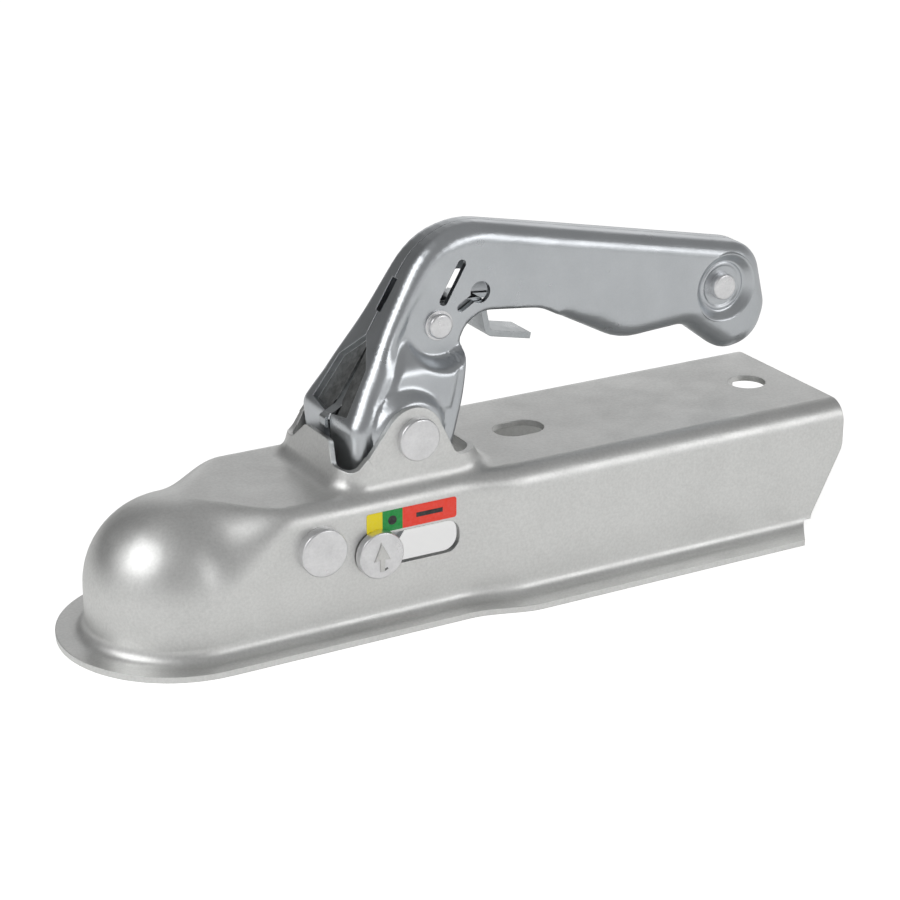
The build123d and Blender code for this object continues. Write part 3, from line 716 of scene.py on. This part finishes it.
# Raised arrow and a punch mark on the face of the indicator pin, as (x, z) from its axis. The arrow takes the
# darker sleeve steel, painted shade on what is the head's own zinc
arrow = {
    "name": "indicatorArrow", "slot": "sleeve_steel", "finish": finishes["sleeve_steel"],
    "outline": [
        (-0.3, 4.5), (2.8, -1.45), (0.9, -1.2), (0.7, -5.0), (-0.8, -5.0), (-0.9, -1.2), (-2.8, -1.45),
    ],
    "height": 0.6, "edge": 0.5, "sunk": 0.2,
}
# The punch mark is a dark patch barely proud of the face: painted shade in place of a dent
mark = {
    "name": "indicatorMark", "slot": "pin_zinc", "finish": paintedShade,
    "outline": [(0.1, -4.5), (1.7, -3.9), (2.0, -4.5), (0.4, -5.1)], "height": 0.03, "edge": 0, "sunk": 0.2,
}


def raisedFace(setting, pin):
    bm = bmesh.new()
    x, z = pin["axis"]
    foot = setting["sunk"] - pin["reach"] - pin["height"]
    face = bm.faces.new([bm.verts.new((x + right, foot, z + up)) for right, up in setting["outline"]])
    grown = bmesh.ops.extrude_face_region(bm, geom=[face])["geom"]
    verts = [item for item in grown if isinstance(item, bmesh.types.BMVert)]
    height = setting["height"] + setting["sunk"]
    bmesh.ops.translate(bm, vec=(0, -height, 0), verts=verts)
    bmesh.ops.recalc_face_normals(bm, faces=bm.faces)
    if setting["edge"]:
        top = []
        for line in bm.edges:
            if all(abs(vert.co.y - foot + height) < touching for vert in line.verts):
                top.append(line)
        bmesh.ops.bevel(
            bm, geom=top, offset=setting["edge"], offset_type="OFFSET", segments=2,
            profile=0.5, affect="EDGES", material=-1,
        )
    return finishPiece(bm, setting["name"], "slider", setting["finish"])


for setting in (arrow, mark):
    raisedFace(setting, pins[-1])
print("indicator marked")

# Studio: pale floor that is white to the camera, a grey room with one dark flag, three boxes and a fill,
# the flag and the lamps placed by azimuth and elevation
studio = {
    "floorSize": 12.0, "floorColour": (0.8, 0.8, 0.79), "floorShown": 0.64, "floorGlow": 0.22,
    "horizon": 0.69, "room": 0.31, "zenith": 0.34, "levels": (0.05, 0.38, 1.0), "aim": (0, 0, 0.04),
    "flag": (-147, 12), "flagSpan": (0.62, 0.9), "flagShade": 0.16,
    "lights": [
        {"name": "leftBox", "from": (-87, 39), "distance": 1.1, "size": (0.7, 0.7), "power": 3.5},
        {"name": "rightBox", "from": (34, 25), "distance": 1.2, "size": (0.8, 0.42), "power": 2.1},
        {"name": "backPanel", "from": (151, 17), "distance": 1.3, "size": (1.3, 0.55), "power": 1.05},
        {"name": "frontFill", "from": (-18, 42), "distance": 1.2, "size": (1.0, 0.8), "power": 3.4,
         "mirrored": False},
    ],
}


# Glow of the floor: white to the camera, softer in metal that mirrors it, none on the part itself
def floorStrength(tree, setting):
    path = tree.nodes.new("ShaderNodeLightPath")
    mirrored = tree.nodes.new("ShaderNodeMath")
    mirrored.operation = "MAXIMUM"
    tree.links.new(path.outputs["Is Glossy Ray"], mirrored.inputs[0])
    tree.links.new(path.outputs["Is Transmission Ray"], mirrored.inputs[1])
    reflected = spread(tree, mirrored.outputs["Value"], 0.0, setting["floorGlow"], 0.0, 1.0)
    return addValues(tree, reflected, path.outputs["Is Camera Ray"], setting["floorShown"])


def makeFloor(setting):
    bm = bmesh.new()
    bmesh.ops.create_grid(bm, x_segments=8, y_segments=8, size=setting["floorSize"] / 2)
    mesh = bpy.data.meshes.new("studioFloor")
    bm.to_mesh(mesh)
    bm.free()
    floor = linkObject("studioFloor", mesh)
    material = bpy.data.materials.new("studioFloor")
    material.use_nodes = True
    tree = material.node_tree
    tree.nodes.clear()
    output = tree.nodes.new("ShaderNodeOutputMaterial")
    paint = tree.nodes.new("ShaderNodeBsdfDiffuse")
    paint.inputs["Color"].default_value = (*setting["floorColour"], 1)
    glow = tree.nodes.new("ShaderNodeEmission")
    tree.links.new(floorStrength(tree, setting), glow.inputs["Strength"])
    both = tree.nodes.new("ShaderNodeAddShader")
    tree.links.new(paint.outputs["BSDF"], both.inputs[0])
    tree.links.new(glow.outputs["Emission"], both.inputs[1])
    tree.links.new(both.outputs["Shader"], output.inputs["Surface"])
    mesh.materials.append(material)


def makeRoom(setting):
    world = bpy.data.worlds.new("studioRoom")
    world.use_nodes = True
    bpy.context.scene.world = world
    tree = world.node_tree
    tree.nodes.clear()
    output = tree.nodes.new("ShaderNodeOutputWorld")
    background = tree.nodes.new("ShaderNodeBackground")
    coords = tree.nodes.new("ShaderNodeTexCoord")
    parts = tree.nodes.new("ShaderNodeSeparateXYZ")
    ramp = tree.nodes.new("ShaderNodeValToRGB")
    tree.links.new(coords.outputs["Generated"], parts.inputs["Vector"])
    tree.links.new(parts.outputs["Z"], ramp.inputs["Fac"])
    low, middle, high = setting["levels"]
    stops = ramp.color_ramp.elements
    stops[0].position, stops[1].position = low, high
    stops[0].color = (setting["horizon"],) * 3 + (1,)
    stops[1].color = (setting["zenith"],) * 3 + (1,)
    stops.new(middle).color = (setting["room"],) * 3 + (1,)
    facing = tree.nodes.new("ShaderNodeVectorMath")
    facing.operation = "DOT_PRODUCT"
    facing.inputs[1].default_value = direction(*setting["flag"])
    tree.links.new(coords.outputs["Generated"], facing.inputs[0])
    shade = spread(tree, facing.outputs["Value"], 0.0, 1.0, *setting["flagSpan"])
    dark = (setting["flagShade"],) * 3
    room = blendColours(tree, shade, ramp.outputs["Color"], dark)
    path = tree.nodes.new("ShaderNodeLightPath")
    # White to the camera behind the floor's edge
    shown = blendColours(tree, path.outputs["Is Camera Ray"], room, (1, 1, 1))
    tree.links.new(shown, background.inputs["Color"])
    tree.links.new(background.outputs["Background"], output.inputs["Surface"])


def direction(azimuth, elevation):
    a, e = math.radians(azimuth), math.radians(elevation)
    return Vector((math.sin(a) * math.cos(e), -math.cos(a) * math.cos(e), math.sin(e)))


def makeLights(setting):
    aim = Vector(setting["aim"])
    for entry in setting["lights"]:
        lamp = bpy.data.lights.new(entry["name"], "AREA")
        lamp.shape = "RECTANGLE"
        lamp.size, lamp.size_y = entry["size"]
        lamp.energy = entry["power"]
        box = linkObject(entry["name"], lamp)
        away = direction(*entry["from"])
        box.location = aim + away * entry["distance"]
        box.rotation_euler = (-away).to_track_quat("-Z", "Y").to_euler()
        box.visible_glossy = entry.get("mirrored", True)  # a fill that leaves no shape in the metal


makeFloor(studio)
makeRoom(studio)
makeLights(studio)
print("studio built")

# Camera at the photograph's viewpoint
viewpoint = {
    "azimuth": -29.165, "elevation": 21.474, "distance": 771.5 * mm, "lens": 97.1, "sensor": 36.0,
    "target": (0.39 * mm, 0.0, 40.2 * mm), "clip": (0.01, 50),
}


def makeCamera(setting):
    data = bpy.data.cameras.new("photoCamera")
    data.lens, data.sensor_width = setting["lens"], setting["sensor"]
    data.clip_start, data.clip_end = setting["clip"]
    camera = linkObject("photoCamera", data)
    away = direction(setting["azimuth"], setting["elevation"])
    camera.location = Vector(setting["target"]) + away * setting["distance"]
    camera.rotation_euler = (-away).to_track_quat("-Z", "Y").to_euler()
    bpy.context.scene.camera = camera


makeCamera(viewpoint)
bpy.context.scene.view_settings.view_transform = "Standard"
print("camera placed")
